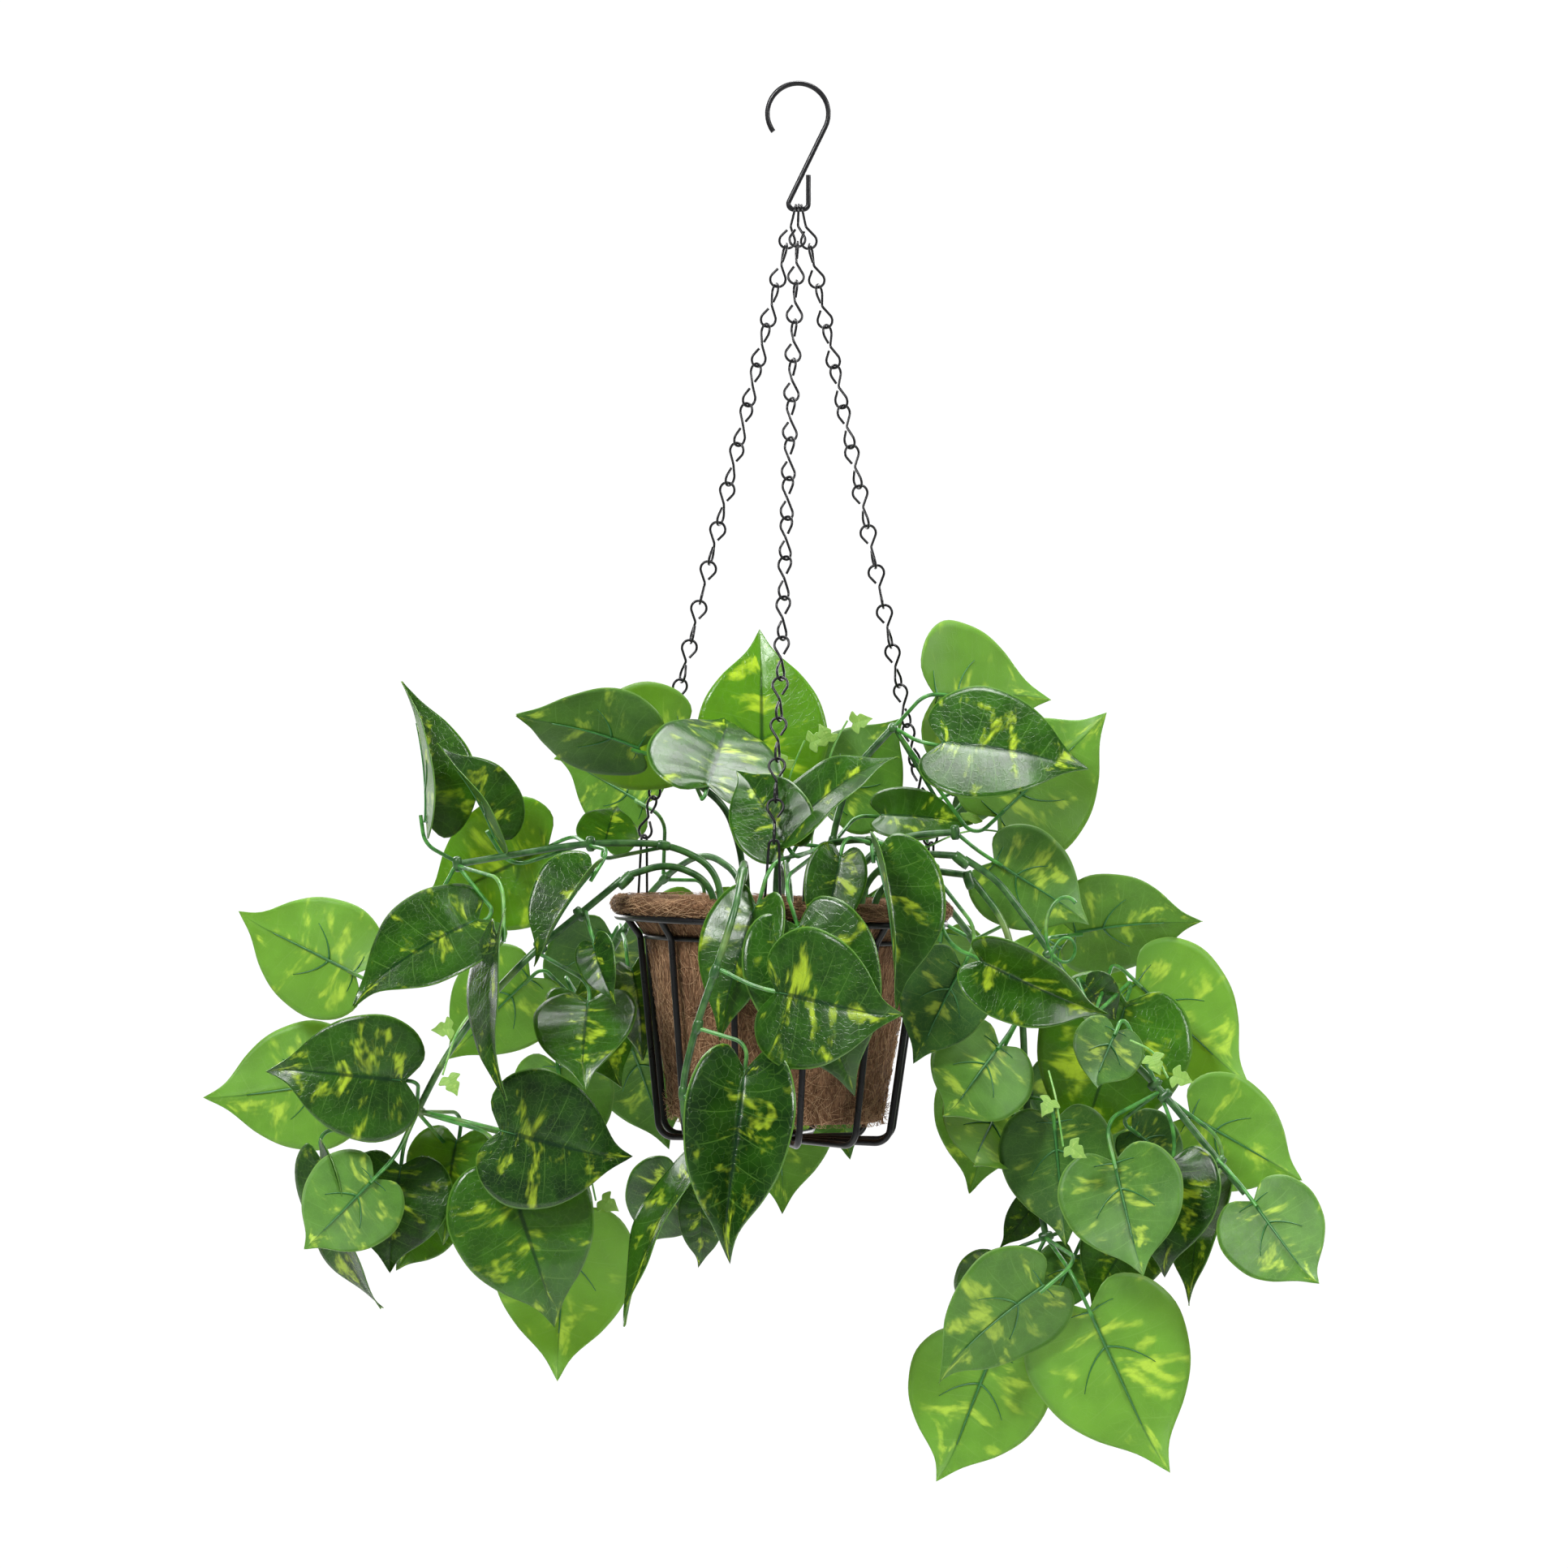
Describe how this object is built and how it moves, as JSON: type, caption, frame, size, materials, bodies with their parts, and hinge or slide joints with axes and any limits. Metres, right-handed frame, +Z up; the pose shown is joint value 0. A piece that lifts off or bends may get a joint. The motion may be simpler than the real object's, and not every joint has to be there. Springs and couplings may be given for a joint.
{
  "type": "hanging basket",
  "caption": "Tapered wire hanging basket with a coir liner and artificial variegated pothos vines, hung by jack chains from an open wire hook.",
  "frame": {"origin": "the point inside the hook's top bend that bears on the ceiling eye", "axes": "+Z up, -Y the front, +X the viewer's right"},
  "size_m": [0.6756, 0.3712, 0.8483],
  "materials": {
    "black_wire": "gloss black powder coat",
    "coir": "pressed coconut fibre",
    "foam": "dry floral foam",
    "leaf": "variegated printed leaf",
    "stem": "moulded green stem",
    "sprig": "moulded pale green sprig"
  },
  "bodies": {
    "hook": {"ceiling_hook": "black_wire"},
    "hanger": {"left_top_link": "black_wire", "front_top_link": "black_wire", "right_top_link": "black_wire"},
    "basket": {"back_left_vine": "stem", "back_left_vine_leaves": "leaf", "back_right_vine": "stem", "back_right_vine_leaves": "leaf", "back_vine": "stem", "back_vine_leaves": "leaf", "centre_ring": "black_wire", "coir_liner": "coir", "crown_sprigs": "sprig", "foam_block": "foam", "front_chain": "black_wire", "front_rim_clip": "black_wire", "front_short_vine": "stem", "front_short_vine_leaves": "leaf", "front_trailing_vine_root": "stem", "left_chain": "black_wire", "left_rim_clip": "black_wire", "left_trailing_vine_root": "stem", "left_upper_vine": "stem", "left_upper_vine_leaves": "leaf", "neck_ring": "black_wire", "rib_01": "black_wire", "rib_02": "black_wire", "rib_03": "black_wire", "rib_04": "black_wire", "rib_05": "black_wire", "rib_06": "black_wire", "rib_07": "black_wire", "rib_08": "black_wire", "rib_09": "black_wire", "rib_10": "black_wire", "rib_11": "black_wire", "rib_12": "black_wire", "right_chain": "black_wire", "right_hanging_vine_root": "stem", "right_rim_clip": "black_wire", "right_trailing_vine_root": "stem", "right_upper_vine": "stem", "right_upper_vine_leaves": "leaf", "top_left_vine": "stem", "top_left_vine_leaves": "leaf", "top_right_vine": "stem", "top_right_vine_leaves": "leaf", "top_ring": "black_wire", "top_vine": "stem", "top_vine_leaves": "leaf"},
    "left_vine": {"left_trailing_vine": "stem", "left_trailing_vine_leaves": "leaf", "left_sprigs": "sprig"},
    "right_vine": {"right_trailing_vine": "stem", "right_trailing_vine_leaves": "leaf", "right_hanging_vine": "stem", "right_hanging_vine_leaves": "leaf", "right_sprigs": "sprig"},
    "front_vine": {"front_trailing_vine": "stem", "front_trailing_vine_leaves": "leaf"}
  },
  "joints": [
    {"name": "swing", "type": "hinge", "parent": "hook", "child": "hanger", "pos_m": [0.0004, 0, -0.0754], "axis": [1, 0, 0], "range_deg": [-25, 25]},
    {"name": "turn", "type": "hinge", "parent": "hanger", "child": "basket", "pos_m": [0.0004, 0, -0.098], "axis": [0, 0, 1], "range_deg": [-10, 10]},
    {"name": "left_vine_bend", "type": "hinge", "parent": "basket", "child": "left_vine", "pos_m": [-0.104, -0.042, -0.482], "axis": [0, 1, 0], "range_deg": [-6, 6]},
    {"name": "right_vine_bend", "type": "hinge", "parent": "basket", "child": "right_vine", "pos_m": [0.101, -0.025, -0.476], "axis": [0, 1, 0], "range_deg": [-4, 6]},
    {"name": "front_vine_bend", "type": "hinge", "parent": "basket", "child": "front_vine", "pos_m": [-0.033, -0.11, -0.478], "axis": [1, 0, 0], "range_deg": [-15, 0]}
  ]
}
